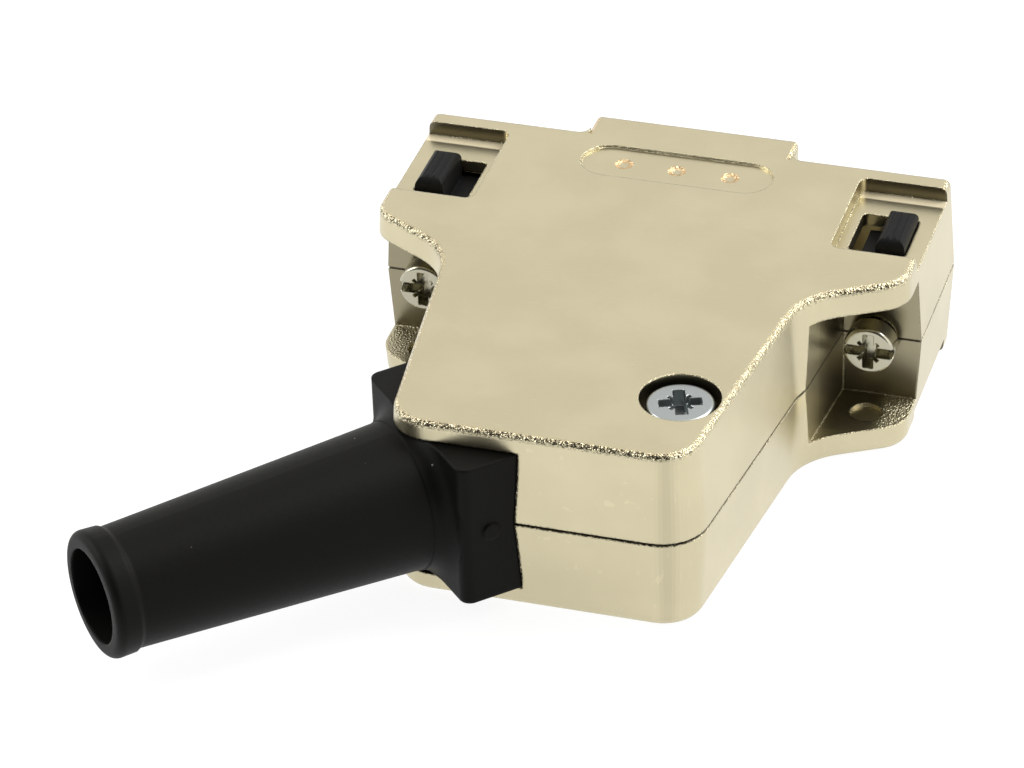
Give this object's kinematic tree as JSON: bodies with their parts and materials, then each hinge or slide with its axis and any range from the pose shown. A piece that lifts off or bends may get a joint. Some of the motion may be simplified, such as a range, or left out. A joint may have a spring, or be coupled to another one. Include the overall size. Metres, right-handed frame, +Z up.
{
  "type": "d-sub connector hood",
  "caption": "Two-part die-cast hood for a d-sub cable connector with an angled rubber cable boot, captive jackscrews and sliding keyhole latches.",
  "frame": {"origin": "centre of the connector opening, in the plane of the front face and on the parting plane of the two halves, midway between the jackscrews", "axes": "+X along the connector flange, +Y out of the connector opening, +Z up through the half that carries the housing screw head; the cable leaves between -X and -Y"},
  "size_m": [0.0495, 0.0626, 0.0142],
  "materials": {
    "shell_nickel": "satin nickel over cast zinc",
    "screw_nickel": "bright nickel",
    "screw_zinc": "bright zinc",
    "boot_rubber": "matt",
    "slide_plastic": "satin"
  },
  "bodies": {
    "hood": {"upper_shell": "shell_nickel", "lower_shell": "shell_nickel", "housing_screw": "screw_zinc", "cable_boot": "boot_rubber", "cable_clamp": "screw_zinc", "clamp_screw_front": "screw_zinc", "clamp_screw_rear": "screw_zinc"},
    "jackscrew_left": {"jackscrew_left": "screw_nickel"},
    "jackscrew_right": {"jackscrew_right": "screw_nickel"},
    "slide_left": {"slide_left": "slide_plastic"},
    "slide_right": {"slide_right": "slide_plastic"}
  },
  "joints": [
    {"name": "jackscrew_left_turn", "type": "hinge", "parent": "hood", "child": "jackscrew_left", "pos_m": [-0.01665, 0, 0], "axis": [0, 1, 0], "continuous": true},
    {"name": "jackscrew_right_turn", "type": "hinge", "parent": "hood", "child": "jackscrew_right", "pos_m": [0.01665, 0, 0], "axis": [0, 1, 0], "continuous": true},
    {"name": "slide_left_release", "type": "slide", "parent": "hood", "child": "slide_left", "axis": [1, 0, 0], "range_m": [0, 0.0018]},
    {"name": "slide_right_release", "type": "slide", "parent": "hood", "child": "slide_right", "axis": [-1, 0, 0], "range_m": [0, 0.0018]}
  ]
}
